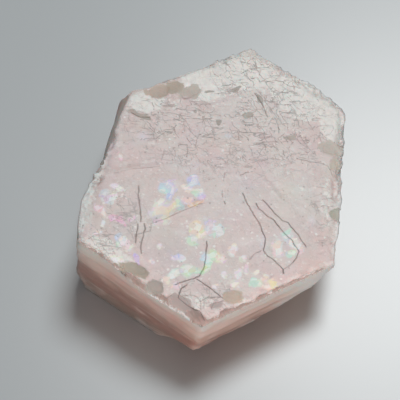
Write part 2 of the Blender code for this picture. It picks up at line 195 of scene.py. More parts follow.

# Broad, faint tints of the body under the skin, in the same way; the last six are faint painted reflections,
# coloured flashes too weak to list with the others.
TINTS_AND_FAINT_FLASHES = [
    (2.1, 8.0, 3.6, 3.4, 0.0, (0.58, 0.42, 0.40)),
    (-10.3, 6.5, 3.4, 4.0, 0.0, (0.68, 0.48, 0.46)),
    (13.7, 2.4, 4.2, 3.8, 0.0, (0.62, 0.62, 0.56)),
    (9.8, -7.0, 2.6, 3.0, 0.0, (0.58, 0.60, 0.55)),
    (11.6, 0.7, 3.0, 4.2, 0.0, (0.62, 0.55, 0.48)),
    (6.2, 2.7, 3.8, 3.5, 0.0, (0.57, 0.49, 0.50)),
    (-4.0, -7.5, 3.4, 4.4, 0.0, (0.55, 0.47, 0.46)),
    (-11.0, -1.0, 3.0, 3.0, 0.0, (0.62, 0.47, 0.45)),
    # Faint painted reflections: weak coloured flashes.
    (12.9, 2.4, 1.5, 1.3, 0.0, (0.66, 0.72, 0.64)),
    (13.2, 4.6, 1.3, 0.9, 0.0, (0.75, 0.70, 0.58)),
    (15.1, -2.3, 0.8, 1.2, 0.0, (0.68, 0.62, 0.72)),
    (4.0, 10.5, 1.0, 0.8, 0.0, (0.62, 0.64, 0.72)),
    (-7.9, 9.6, 1.4, 1.3, 0.0, (0.66, 0.61, 0.70)),
    (8.4, -5.8, 0.8, 1.9, 0.0, (0.66, 0.60, 0.70)),
]

# Painted reflections: coloured flashes, as light off thin cracks inside gives them, as (u, v, length, width,
# turn, colour).
WHITE = (0.84, 0.80, 0.79)
CYAN = (0.45, 0.72, 0.76)
BLUE = (0.46, 0.57, 0.84)
VIOLET = (0.60, 0.44, 0.82)
LILAC = (0.64, 0.57, 0.72)
MAGENTA = (0.84, 0.40, 0.66)
PINK = (0.82, 0.56, 0.60)
ROSE = (0.78, 0.66, 0.63)
ORANGE = (0.84, 0.56, 0.36)
YELLOW = (0.82, 0.70, 0.44)
GREEN = (0.54, 0.78, 0.40)
MINT = (0.56, 0.72, 0.62)
FLASHES = [
    (-4.3, 2.0, 3.0, 2.0, 10.0, LILAC),
    (-4.9, 1.4, 1.3, 2.0, 10.0, CYAN),
    (-4.1, 1.0, 1.2, 2.6, 0.0, BLUE),
    (-5.2, -2.1, 2.9, 4.4, -12.0, ROSE),
    (-5.6, -1.4, 1.2, 2.0, -12.0, WHITE),
    (-3.9, -1.6, 1.2, 2.8, -30.0, YELLOW),
    (-1.0, 2.8, 1.7, 1.8, 0.0, BLUE),
    (-0.9, 3.4, 1.0, 0.7, 20.0, WHITE),
    (-1.6, 1.7, 2.4, 1.1, -30.0, ROSE),
    (0.1, 0.7, 1.2, 1.1, 0.0, VIOLET),
    (-0.3, 1.3, 1.2, 0.9, 0.0, WHITE),
    (-0.9, 1.0, 1.0, 0.9, 0.0, MINT),
    (-0.6, -0.3, 2.4, 0.8, 24.0, ORANGE),
    (-1.8, -0.2, 1.6, 1.0, 20.0, PINK),
    (-2.7, -0.7, 1.1, 2.2, 10.0, MINT),
    (-0.5, -4.3, 1.7, 2.2, 20.0, YELLOW),
    (0.1, -5.2, 1.3, 2.0, -10.0, YELLOW),
    (-0.8, -6.3, 2.2, 1.7, -20.0, MINT),
    (1.2, -3.9, 2.0, 2.4, 0.0, LILAC),
    (2.6, -4.7, 1.6, 1.8, 0.0, MINT),
    (-3.4, -8.9, 1.0, 1.2, 0.0, LILAC),
    (-3.0, -8.7, 0.9, 1.1, 0.0, BLUE),
    (-2.5, -8.9, 1.1, 1.0, 0.0, WHITE),
    (0.9, -8.6, 1.5, 1.9, 0.0, CYAN),
    (1.6, -8.4, 1.1, 2.0, 10.0, GREEN),
    (2.2, -8.6, 1.2, 1.9, 0.0, YELLOW),
    (3.0, -8.7, 1.2, 1.4, 0.0, PINK),
    (4.4, -7.4, 2.0, 1.2, 80.0, ROSE),
    (-1.6, -10.8, 4.4, 1.6, 8.0, MINT),
    (-1.0, -10.9, 2.0, 1.2, 20.0, GREEN),
    (0.8, -10.2, 1.6, 1.0, 40.0, GREEN),
    (-3.6, -11.3, 1.4, 1.2, 30.0, WHITE),
    (-2.4, -11.0, 1.0, 0.9, -30.0, BLUE),
    (-2.9, -13.1, 1.3, 1.1, 0.0, PINK),
    (-4.4, -12.2, 1.6, 1.0, -20.0, ROSE),
    (-11.2, -3.7, 2.0, 1.1, -28.0, MAGENTA),
    (-10.4, -4.2, 1.3, 0.6, -30.0, PINK),
    (-9.0, -3.4, 1.2, 0.7, 40.0, PINK),
    (-13.2, -2.6, 0.9, 2.4, 30.0, PINK),
    (-11.6, 0.0, 1.1, 1.6, -20.0, WHITE),
    (-11.2, 1.4, 2.0, 0.9, -20.0, WHITE),
    (-12.4, -0.2, 1.6, 2.0, 0.0, LILAC),
    (-10.7, -6.2, 1.1, 1.4, -40.0, BLUE),
    (-10.0, -7.1, 2.6, 1.5, -50.0, WHITE),
    (-10.6, -7.3, 1.6, 0.9, -42.0, MINT),
    (-13.6, -5.9, 1.3, 0.8, 20.0, WHITE),
    (-8.4, -9.2, 0.9, 1.8, 25.0, VIOLET),
    (-10.7, -9.5, 1.8, 1.0, -10.0, WHITE),
    (7.2, -12.0, 1.6, 1.4, 0.0, MINT),
    (6.1, -10.2, 0.8, 1.5, 20.0, ROSE),
    (7.4, -10.4, 0.6, 1.1, -30.0, WHITE),
    (4.6, -12.4, 1.2, 0.7, 30.0, ROSE),
    (8.8, -10.9, 0.8, 0.6, 10.0, ROSE),
    (3.1, -11.2, 0.7, 1.3, 0.0, WHITE),
    (5.9, -8.6, 0.6, 1.2, -15.0, ROSE),
    (2.0, -12.9, 1.1, 0.6, 0.0, ROSE),
    (-6.2, -9.6, 0.8, 0.6, 30.0, ROSE),
    (-5.4, -7.4, 0.6, 0.9, 0.0, ROSE),
    (-12.9, -4.4, 0.7, 0.9, 0.0, WHITE),
    (8.6, -12.1, 1.5, 1.4, 0.0, PINK),
    (9.5, -12.0, 1.3, 1.6, 30.0, YELLOW),
    (5.0, -11.0, 1.0, 1.6, 20.0, WHITE),
    (11.7, -4.6, 1.4, 2.2, -50.0, MINT),
    (12.6, -6.0, 1.5, 3.4, 28.0, ROSE),
    (12.0, -7.6, 1.2, 1.6, -40.0, MINT),
    (10.3, -6.8, 1.5, 3.0, 0.0, ROSE),
    (-10.9, 6.3, 0.7, 1.4, 0.0, PINK),
]

# The inner edge of the strip along the two front walls where the skin is gone.
STRIP_EDGE = [
    (19.5, -8.2), (16.0, -9.5), (13.9, -10.7), (11.6, -11.9), (10.5, -12.4), (8.8, -13.5),
    (7.7, -13.8), (7.2, -14.6), (5.1, -15.5), (3.6, -16.0), (2.7, -16.4), (2.4, -17.1),
    (0.9, -17.6), (0.4, -17.0), (-0.8, -16.0), (-1.8, -15.4), (-2.9, -14.6), (-3.8, -14.2),
    (-4.4, -14.8), (-5.0, -14.2), (-6.7, -13.2), (-7.4, -12.9), (-8.6, -11.9), (-9.6, -11.1),
    (-10.8, -10.5), (-12.0, -9.7), (-12.6, -8.9), (-13.6, -8.3), (-15.4, -7.4), (-17.5, -6.6),
]

# Painted highlights: thin bright lines where an edge catches the light, as (half width, route).
GLINTS = [
    (0.16, [(-7.5, -14.2), (-6.3, -15.0), (-5.2, -15.7), (-3.1, -17.1), (-1.3, -18.3)]),
    (0.12, [(-6.4, -14.4), (-5.0, -15.0), (-3.9, -15.9), (-2.3, -16.8), (-1.3, -17.6)]),
    (0.20, [(-13.1, -9.9), (-12.2, -10.5), (-11.6, -10.8)]),
    (0.14, [(-2.4, -16.5), (-1.9, -17.2), (-1.3, -17.9)]),
]

# How fine the mesh is made: the longest edge on the basal face, by a crack, on the walls
# and on the broken underside. CRACK_REACH is in millimetres.
TOP_EDGE = 0.30 * MM
CRACK_EDGE = 0.095 * MM
WALL_EDGE = 0.46 * MM
UNDER_EDGE = 0.8 * MM
CRACK_REACH = 0.22
REFINE_ROUNDS = 14
WELD = 0.002 * MM

# Depth in millimetres below the basal face where the skin ends and the walls begin.
WALL_DEPTH = 0.6

# How much a surface faces up or down, as the value where a part of it starts and the value
# where it is whole: the skin's relief, the skin's finish, and the same for the breaks.
# From UNDERSIDE down the mesh is coarser.
RELIEF_FACING = (0.6, 0.9)
SKIN_FACING = (0.40, 0.75)
BREAK_RELIEF_FACING = (0.3, 0.6)
BREAK_FACING = (0.25, 0.55)
UNDERSIDE = -0.35

# The facets of the walls are evened out below this depth in millimetres, above this height
# over the floor, and where the surface isn't level.
SOFT_DEPTH = 0.96
SOFT_HEIGHT = 0.5 * MM
SOFT_LEVEL = 0.9
SOFT_PASSES = 4

# The bare spots and the front strip keep FLAKE_SHARE of their depth, where the surface faces
# up that much or is near their edge, and isn't far outside the rim. Near their edge and
# inside the rim they are worn. Distances are in millimetres; SPOT_NEAR is a share of a spot.
FLAKE_SHARE = 0.15
FLAKE_PASSES = 6
FLAKE_FACING = 0.45
FLAKE_OUTSIDE = -0.2
FLAKE_INSIDE = 0.5
STRIP_NEAR = 0.5
SPOT_NEAR = -0.45

# Relief, as the size of its bumps and its height.
WAVES = (3.2 * MM, 0.03 * MM)
GRAIN = (0.8 * MM, 0.008 * MM)
WALL_LINES = (0.9 * MM, 0.05 * MM)
WALL_LINE_STRETCH = (0.35, 0.35, 2.4)
WALL_SWELL = (4.0 * MM, 0.10 * MM)
FRACTURE = (1.6 * MM, 0.10 * MM)

# Height over the floor below which the relief fades out, so that the crystal keeps its flat spot.
FLOOR_FADE = 0.6 * MM

# Chips along the rim: bump size and height, how far in millimetres they reach from the rim,
# how much of them is left at the front, where along v they grow, and how much of the push
# goes down.
RIM_CHIPS = [(1.9 * MM, 0.9 * MM), (0.7 * MM, 0.45 * MM)]
RIM_REACH = 1.5
RIM_FRONT = 0.25
RIM_GROWS = (-2.0, 6.0)
RIM_DROP = 0.35

# How far bare spots and flashes stray from their ovals: size of the bends and their reach.
SPOT_WANDER = (1.3 * MM, 0.45)

# How sharply neighbouring marks part, a flash's radius as a share of its length or width,
# how steeply a glint fades and how deep it may lie, and in millimetres the widths of the
# frosted rim and of the band along the strip's edge where distances are kept.
MARK_SHARPNESS = 5.0
FLASH_RADIUS = 0.6
GLINT_STEEPNESS = 1.3
GLINT_DEPTH = 0.9
RIM_BAND = 1.6
STRIP_BAND = 3.0

SHARP_ANGLE = math.radians(42.0)

# Colours of the skin.
PALE_CLOUD = (0.70, 0.635, 0.61)
DARK_CLOUD = (0.43, 0.345, 0.33)
PALE_FLECK = (0.84, 0.81, 0.78)
PALE_FLAKE = (0.76, 0.73, 0.70)
PALE_SHRED = (0.81, 0.77, 0.74)
DARK_SHRED = (0.43, 0.35, 0.33)
VEIL = (0.69, 0.645, 0.615)
FROST_SHADE = (0.72, 0.71, 0.68)
# Painted highlight in the middle of a flash.
FLASH_CORE = (0.90, 0.89, 0.88)
CRAZE_LINE = (0.24, 0.20, 0.185)
PIT = (0.31, 0.26, 0.24)
# Painted highlight along the glints.
GLINT_COLOUR = (0.92, 0.89, 0.86)

# Colours of the bare spots' worn parts and of the front strip, with the painted shade along the strip's step.
BARE_WORN = (0.60, 0.53, 0.47)
STRIP_DARK = (0.47, 0.36, 0.335)
STRIP_DARKEST = (0.37, 0.29, 0.255)
STRIP_STEP_SHADE = (0.27, 0.20, 0.18)

# Colours of the walls, from the rim down, and of what lies over them. The pale rim band and the dark foot are
# partly painted light and painted shade, and the pale right end is painted light.
WALL_RIM = (0.97, 0.85, 0.79)
WALL_TAN = (0.70, 0.50, 0.43)
WALL_MAROON = (0.46, 0.29, 0.25)
WALL_FOOT = (0.40, 0.29, 0.25)
WALL_BLOTCH = (0.92, 0.70, 0.65)
PALE_STREAK = (0.95, 0.87, 0.81)
DARK_STREAK = (0.52, 0.38, 0.33)
PAINTED_LIGHT_RIGHT_END = (0.97, 0.93, 0.90)
LEFT_END = (0.96, 0.84, 0.77)
BREAK = (0.60, 0.45, 0.40)

BERYL_IOR = 1.58
SCATTER_BY_COLOUR = (1.0, 0.56, 0.48)

# The stage.
FLOOR_HALF = 3.0
FLOOR_ROUGHNESS = 0.37
FLOOR_SHINE = 1.0
KEY_COLOUR = (1.0, 1.0, 0.99)
FILL_COLOUR = (1.0, 0.90, 0.86)
FILL_SIZE = (0.5, 0.07)
FILL_DIRECTION = (0.16, -0.98, 0.06)
AMBIENT_COLOUR = (0.90, 0.96, 1.0, 1.0)
SENSOR_WIDTH = 36.0
CLIP_START = 5.0 * MM


class CrystalSettings(bpy.types.PropertyGroup):
    """Colours and finish of the crystal."""

    body: FloatVectorProperty(
        name="Body", description="Colour of the beryl itself", subtype="COLOR", size=3,
        default=(0.63, 0.505, 0.485), min=0.0, max=1.0,
    )
    pale_body: FloatVectorProperty(
        name="Pale body", description="Colour of the beryl where it is cloudier", subtype="COLOR", size=3,
        default=(0.62, 0.535, 0.515), min=0.0, max=1.0,
    )
    wall: FloatVectorProperty(
        name="Walls", description="Colour of the prism walls below the rim", subtype="COLOR", size=3,
        default=(0.95, 0.70, 0.63), min=0.0, max=1.0,
    )
    frost: FloatVectorProperty(
        name="Frost", description="Colour of the frosted skin", subtype="COLOR", size=3,
        default=(0.82, 0.815, 0.775), min=0.0, max=1.0,
    )
    crack: FloatVectorProperty(
        name="Cracks", description="Colour inside the cracks", subtype="COLOR", size=3,
        default=(0.12, 0.09, 0.08), min=0.0, max=1.0,
    )
    scatter: FloatProperty(
        name="Scatter", description="How far light wanders inside the cloudy body", subtype="DISTANCE",
        default=7.0 * MM, min=0.0, unit="LENGTH",
    )
    lamp_tint: FloatVectorProperty(
        name="Lamp tint", description="Share of lamp light that gets in or out through the surface",
        subtype="COLOR", size=3, default=(0.50, 0.48, 0.47), min=0.0, max=1.0,
    )
    absorb_tint: FloatVectorProperty(
        name="Absorbing tint", description="Colour that light takes on inside the body",
        subtype="COLOR", size=3, default=(0.49, 0.26, 0.10), min=0.0, max=1.0,
    )
    absorb_density: FloatProperty(
        name="Absorbing density", description="How fast the body takes up light, per metre",
        default=295.0, min=0.0,
    )
    glow: FloatProperty(
        name="Glow", description="Share of light that shines out of the walls from behind",
        default=0.30, min=0.0, max=1.0, subtype="FACTOR",
    )
    see_through: FloatProperty(
        name="See-through", description="Share of light that passes straight through the walls",
        default=0.22, min=0.0, max=1.0, subtype="FACTOR",
    )


class StageSettings(bpy.types.PropertyGroup):
    """Floor, light and camera."""

    floor: FloatVectorProperty(
        name="Floor", description="Colour of the floor", subtype="COLOR", size=3,
        default=(0.495, 0.53, 0.545), min=0.0, max=1.0,
    )
    key_power: FloatProperty(
        name="Key light", description="Power of the soft light behind the crystal", subtype="POWER",
        default=2.1, min=0.0, unit="POWER",
    )
    light_distance: FloatProperty(
        name="Light distance", description="Distance of both lights from the basal face",
        subtype="DISTANCE", default=0.6, min=0.1, unit="LENGTH",
    )
    key_spread: FloatProperty(
        name="Key spread", description="Half the angle that the soft light takes up", subtype="ANGLE",
        default=math.radians(11.0), unit="ROTATION",
    )
    key_turn: FloatProperty(
        name="Key turn", description="How far the soft light stands to the right of straight behind",
        subtype="ANGLE", default=math.radians(25.0), unit="ROTATION",
    )
    key_lean: FloatProperty(
        name="Key lean", description="How far the soft light stands from straight above", subtype="ANGLE",
        default=math.radians(29.0), unit="ROTATION",
    )
    fill_power: FloatProperty(
        name="Fill light", description="Power of the low soft light in front of the crystal", subtype="POWER",
        default=3.2, min=0.0, unit="POWER",
    )
    ambient: FloatProperty(
        name="Ambient", description="Strength of the even light from all round", default=0.14, min=0.0,
    )
    lens: FloatProperty(
        name="Lens", description="Focal length of the camera", default=117.0, min=10.0, unit="CAMERA",
    )
    camera_distance: FloatProperty(
        name="Camera distance", description="Distance from the camera to the basal face", subtype="DISTANCE",
        default=174.78 * MM, min=0.05, unit="LENGTH",
    )
    camera_elevation: FloatProperty(
        name="Camera elevation", description="Height angle of the camera over the floor", subtype="ANGLE",
        default=math.radians(60.0), unit="ROTATION",
    )


def smooth(value):
    """Eases 0 to 1 and holds there on both sides, for one number or an array."""
    value = np.clip(value, 0.0, 1.0)
    return value * value * (3.0 - 2.0 * value)


def rising(value, span):
    """Eases from 0 to 1 while the value goes from one end of a span to the other."""
    low, high = span
    return smooth((value - low) / (high - low))


def face_frame(places):
    """Places as (u, v, depth) in millimetres: along the basal face, and below it."""
    local = (places - np.array(FACE_CENTRE)) @ np.array(FACE_TURN).T / MM
    return local[:, 0], local[:, 1], -local[:, 2]


def spots(u, v, spot):
    """How far inside an oval spot each place is: 1 in its middle, 0 on its edge, below 0 outside."""
    along, across, turn = spot[2], spot[3], math.radians(spot[4])
    x = (u - spot[0]) * math.cos(turn) + (v - spot[1]) * math.sin(turn)
    y = (v - spot[1]) * math.cos(turn) - (u - spot[0]) * math.sin(turn)
    return 1.0 - np.hypot(x / along, y / across)


def route_distance(u, v, route):
    """Distance of each place from a route of straight stretches, and the side it is on."""
    nearest = np.full(len(u), np.inf)
    side = np.zeros(len(u))
    for (u0, v0), (u1, v1) in zip(route, route[1:]):
        length = math.hypot(u1 - u0, v1 - v0)
        du, dv = (u1 - u0) / length, (v1 - v0) / length
        along = np.clip((u - u0) * du + (v - v0) * dv, 0.0, length)
        across = (v - v0) * du - (u - u0) * dv
        distance = np.hypot(u - u0 - along * du, v - v0 - along * dv)
        closer = distance < nearest
        nearest[closer] = distance[closer]
        side[closer] = across[closer]
    return nearest, side


def crack_depth(places):
    """How deep the open cracks are at each place, in metres, and how dark they look, 0 to 1."""
    size, reach = CRACK_WANDER
    usual, swing, least = CRACK_DARKNESS
    u, v, _depth = face_frame(places)
    u = u + reach * bumps(places, size, 31.0)
    v = v + reach * bumps(places, size, 47.0)
    whole = usual + swing * bumps(places, CRACK_STRETCH, 61.0)
    depth = np.zeros(len(u))
    dark = np.zeros(len(u))
    for (half_width, deep), route in CRACKS:
        distance, _side = route_distance(u, v, route)
        inside = smooth(1.0 - distance / half_width)
        depth = np.maximum(depth, deep * inside)
        dark = np.maximum(dark, inside * min(1.0, deep / WIDE[1]))
    return depth * MM, dark * np.clip(whole, least, 1.0)


def near_crack(u, v):
    """Which places are close enough to a crack to need a fine mesh."""
    near = np.zeros(len(u), bool)
    for _size, route in CRACKS:
        near |= route_distance(u, v, route)[0] < CRACK_REACH
    return near


def places_of(bm):
    """The places of a bmesh's vertices as an array."""
    return np.array([vert.co for vert in bm.verts])


def normals_of(bm):
    """The normals of a bmesh's vertices as an array."""
    return np.array([vert.normal for vert in bm.verts])


def move_to(bm, places):
    """Moves each vertex of a bmesh to its new place."""
    for vert, place in zip(bm.verts, places):
        vert.co = Vector(place)


def even_out(bm, verts, passes):
    """Moves vertices half way to the middle of their neighbours, that many times."""
    for _pass in range(passes):
        bmesh.ops.smooth_vert(bm, verts=verts, factor=0.5, use_axis_x=True, use_axis_y=True, use_axis_z=True)


def longest_allowed(middles, normals):
    """The longest edge allowed at each place."""
    u, v, depth = face_frame(middles)
    allowed = np.full(len(middles), WALL_EDGE)
    allowed[normals < UNDERSIDE] = UNDER_EDGE
    top = depth < WALL_DEPTH
    allowed[top] = TOP_EDGE
    allowed[top & near_crack(u, v)] = CRACK_EDGE
    return allowed


def split_long_edges(bm):
    """Halves each edge that is too long, the longest first, and joins its middle to the corners across."""
    bm.edges.index_update()
    middles = np.array([0.5 * (edge.verts[0].co + edge.verts[1].co) for edge in bm.edges])
    normals = np.array([0.5 * (edge.verts[0].normal.z + edge.verts[1].normal.z) for edge in bm.edges])
    lengths = np.array([edge.calc_length() for edge in bm.edges])
    too_long = np.flatnonzero(lengths > longest_allowed(middles, normals))
    edges = list(bm.edges)
    for index in too_long[np.argsort(-lengths[too_long], kind="stable")]:
        _edge, middle = bmesh.utils.edge_split(edges[index], edges[index].verts[0], 0.5)
        beside = {edge.other_vert(middle) for edge in middle.link_edges}
        for face in list(middle.link_faces):
            across = [vert for vert in face.verts if vert is not middle and vert not in beside]
            bmesh.utils.face_split(face, middle, across[0])
    return len(too_long)


def refined_copy(node):
    """A closed copy of the CAD solid with a mesh fine enough for its relief."""
    bm = bmesh.new()
    bm.from_mesh(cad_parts[node].data)
    bmesh.ops.remove_doubles(bm, verts=bm.verts, dist=WELD)
    for _round in range(REFINE_ROUNDS):
        bm.normal_update()
        if not split_long_edges(bm):
            break
    return bm


def bumps(places, size, seed, stretch=(1.0, 1.0, 1.0)):
    """Smooth noise of one bump size at each place, about -1 to 1."""
    scaled = places / size * np.array(stretch) + seed
    return np.array([noise.noise(Vector(place)) for place in scaled])


def relief(places, kind, seed, stretch=(1.0, 1.0, 1.0)):
    """Height of one kind of relief at each place, in metres."""
    size, height = kind
    return height * bumps(places, size, seed, stretch)


def soften_walls(bm):
    """Evens out the facets of the walls, away from the rim and the floor."""
    _u, _v, depth = face_frame(places_of(bm))
    loose = [
        vert for vert, deep in zip(bm.verts, depth)
        if deep > SOFT_DEPTH and vert.co.z > SOFT_HEIGHT and abs(vert.normal.z) < SOFT_LEVEL
    ]
    even_out(bm, loose, SOFT_PASSES)


def by_step(u, v):
    """Which places are by the edge of a bare spot or of the front strip, on the basal face."""
    near = route_distance(u, v, STRIP_EDGE)[0] < STRIP_NEAR
    for spot in BARE_SPOTS:
        near |= spots(u, v, spot) > SPOT_NEAR
    return near


def flatten_steps(bm):
    """Makes the bare spots and the front strip shallow, with worn edges."""
    bm.normal_update()
    places = places_of(bm)
    u, v, depth = face_frame(places)
    inside = inside_face(u, v)
    near = by_step(u, v)
    facing_up = normals_of(bm) @ FACE_UP > FLAKE_FACING
    on_top = (depth < WALL_DEPTH) & (facing_up | near) & (inside > FLAKE_OUTSIDE)
    move_to(bm, places + FACE_UP * (depth * on_top * (1.0 - FLAKE_SHARE) * MM)[:, None])
    worn = on_top & near & (inside > FLAKE_INSIDE)
    even_out(bm, [vert for vert, is_worn in zip(bm.verts, worn) if is_worn], FLAKE_PASSES)


def inside_face(u, v):
    """How far inside the basal face's six sides each place is, in millimetres."""
    inside = np.full(len(u), np.inf)
    for (u0, v0), (u1, v1) in zip(FACE_CORNERS, FACE_CORNERS[1:] + FACE_CORNERS[:1]):
        length = math.hypot(u1 - u0, v1 - v0)
        across = ((u - u0) * (v1 - v0) - (v - v0) * (u1 - u0)) / length
        inside = np.minimum(inside, across)
    return inside


def worn_rim(places, u, v, depth):
    """How far each place is pushed in and down where the rim is chipped, more towards the back."""
    rim = smooth(1.0 - np.abs(inside_face(u, v)) / RIM_REACH) * smooth(1.0 - depth / RIM_REACH)
    worn = rim * (RIM_FRONT + (1.0 - RIM_FRONT) * rising(v, RIM_GROWS))
    chips = worn * sum(np.abs(relief(places, kind, 20.0)) for kind in RIM_CHIPS)
    inward = np.column_stack((-u, -v, np.zeros(len(u)))) / np.hypot(u, v)[:, None]
    return (inward - RIM_DROP * FACE_UP) * chips[:, None]


def shape_surface(bm):
    """Presses the cracks in, and roughens the skin, the rim, the walls and the breaks."""
    soften_walls(bm)
    flatten_steps(bm)
    bm.normal_update()
    places = places_of(bm)
    normals = normals_of(bm)
    u, v, depth = face_frame(places)
    on_top = rising(normals @ FACE_UP, RELIEF_FACING) * (depth < WALL_DEPTH)
    below = smooth(depth / WALL_DEPTH) * smooth(places[:, 2] / FLOOR_FADE)
    broken = rising(-normals[:, 2], BREAK_RELIEF_FACING)
    wall = below * (1.0 - broken)

    shift = -crack_depth(places)[0] * on_top
    shift += relief(places, WAVES, seed=3.0) * on_top
    shift += relief(places, GRAIN, seed=11.0) * on_top
    for height, route in STEPS:
        distance, side = route_distance(u, v, route)
        shift += height * MM * smooth(1.0 - distance / STEP_WIDTH) * (side > 0.0) * on_top
    shift += relief(places, WALL_LINES, 5.0, WALL_LINE_STRETCH) * wall
    shift += relief(places, WALL_SWELL, seed=8.0) * wall
    shift += relief(places, FRACTURE, seed=14.0) * below * broken
    move_to(bm, places + normals * shift[:, None] + worn_rim(places, u, v, depth))


def read_vectors(mesh, name):
    """One vector for each vertex of a mesh, as an array."""
    values = np.empty(len(mesh.vertices) * 3, np.float32)
    mesh.vertices.foreach_get(name, values)
    return values.reshape(-1, 3).astype(float)


def add_values(mesh, name, values):
    """Stores one number for each vertex."""
    attribute = mesh.attributes.new(name, "FLOAT", "POINT")
    attribute.data.foreach_set("value", np.asarray(values, np.float32))


def add_colours(mesh, name, colours):
    """Stores one colour for each vertex, with its strength as alpha."""
    attribute = mesh.attributes.new(name, "FLOAT_COLOR", "POINT")
    attribute.data.foreach_set("color", np.asarray(colours, np.float32).ravel())


def painted(u, v, marks, edge, softness):
    """Colours of oval marks, blended where they meet, with alpha for how strong they are.

    The alpha is edge on a mark's outline, and grows by 1 over softness of the mark inwards.
    """
    inside = np.array([spots(u, v, mark) for mark in marks])
    weights = np.exp(MARK_SHARPNESS * (inside - inside.max(axis=0)))
    colours = weights.T @ np.array([mark[5] for mark in marks]) / weights.sum(axis=0)[:, None]
    strength = np.clip(edge + inside.max(axis=0) / softness, 0.0, 1.0)
    return np.column_stack((colours, strength))


def zone_strength(u, v, zones, softness):
    """How strongly each place lies in a list of oval zones, 0 to 1."""
    strength = np.zeros(len(u))
    for zone in zones:
        strength = np.maximum(strength, zone[5] * smooth(spots(u, v, zone) / softness))
    return strength


def mark_surface(mesh):
    """Stores where the finish changes, as numbers and colours on the vertices."""
    places = read_vectors(mesh, "co")
    normals = read_vectors(mesh, "normal")
    u, v, depth = face_frame(places)
    top = rising(normals @ FACE_UP, SKIN_FACING) * (depth < WALL_DEPTH)
    distance, side = route_distance(u, v, STRIP_EDGE)
    strip = np.clip(np.where(side > 0.0, distance, -distance), -STRIP_BAND, STRIP_BAND)
    glint = np.zeros(len(u))
    for half_width, route in GLINTS:
        distance, _side = route_distance(u, v, route)
        glint = np.maximum(glint, smooth(GLINT_STEEPNESS * (1.0 - distance / half_width)))
    flashes = [
        (flash_u, flash_v, FLASH_RADIUS * length, FLASH_RADIUS * width, turn, colour)
        for flash_u, flash_v, length, width, turn, colour in FLASHES
    ]
    size, reach = SPOT_WANDER
    wander_u = u + reach * bumps(places, size, 71.0)
    wander_v = v + reach * bumps(places, size, 83.0)

    add_values(mesh, "depth", depth)
    add_values(mesh, "top", top)
    add_values(mesh, "strip", strip)
    add_values(mesh, "rim", smooth(1.0 - np.abs(inside_face(u, v)) / RIM_BAND) * top)
    add_values(mesh, "glint", glint * (depth < GLINT_DEPTH))
    add_values(mesh, "frost", zone_strength(u, v, FROST, softness=0.55))
    add_values(mesh, "crazing", zone_strength(u, v, CRAZING, softness=0.6))
    add_values(mesh, "crack", crack_depth(places)[1] * top)
    add_values(mesh, "broken", rising(-normals[:, 2], BREAK_FACING))
    add_colours(mesh, "bare", painted(wander_u, wander_v, BARE_SPOTS, edge=0.5, softness=1.2))
    # Tints of the body, with some faint painted reflections of flashes among them.
    add_colours(mesh, "tint", painted(u, v, TINTS_AND_FAINT_FLASHES, edge=0.0, softness=0.9))
    # Painted reflections: where the coloured flashes lie, and their colours.
    add_colours(mesh, "flash", painted(wander_u, wander_v, flashes, edge=0.12, softness=0.7))


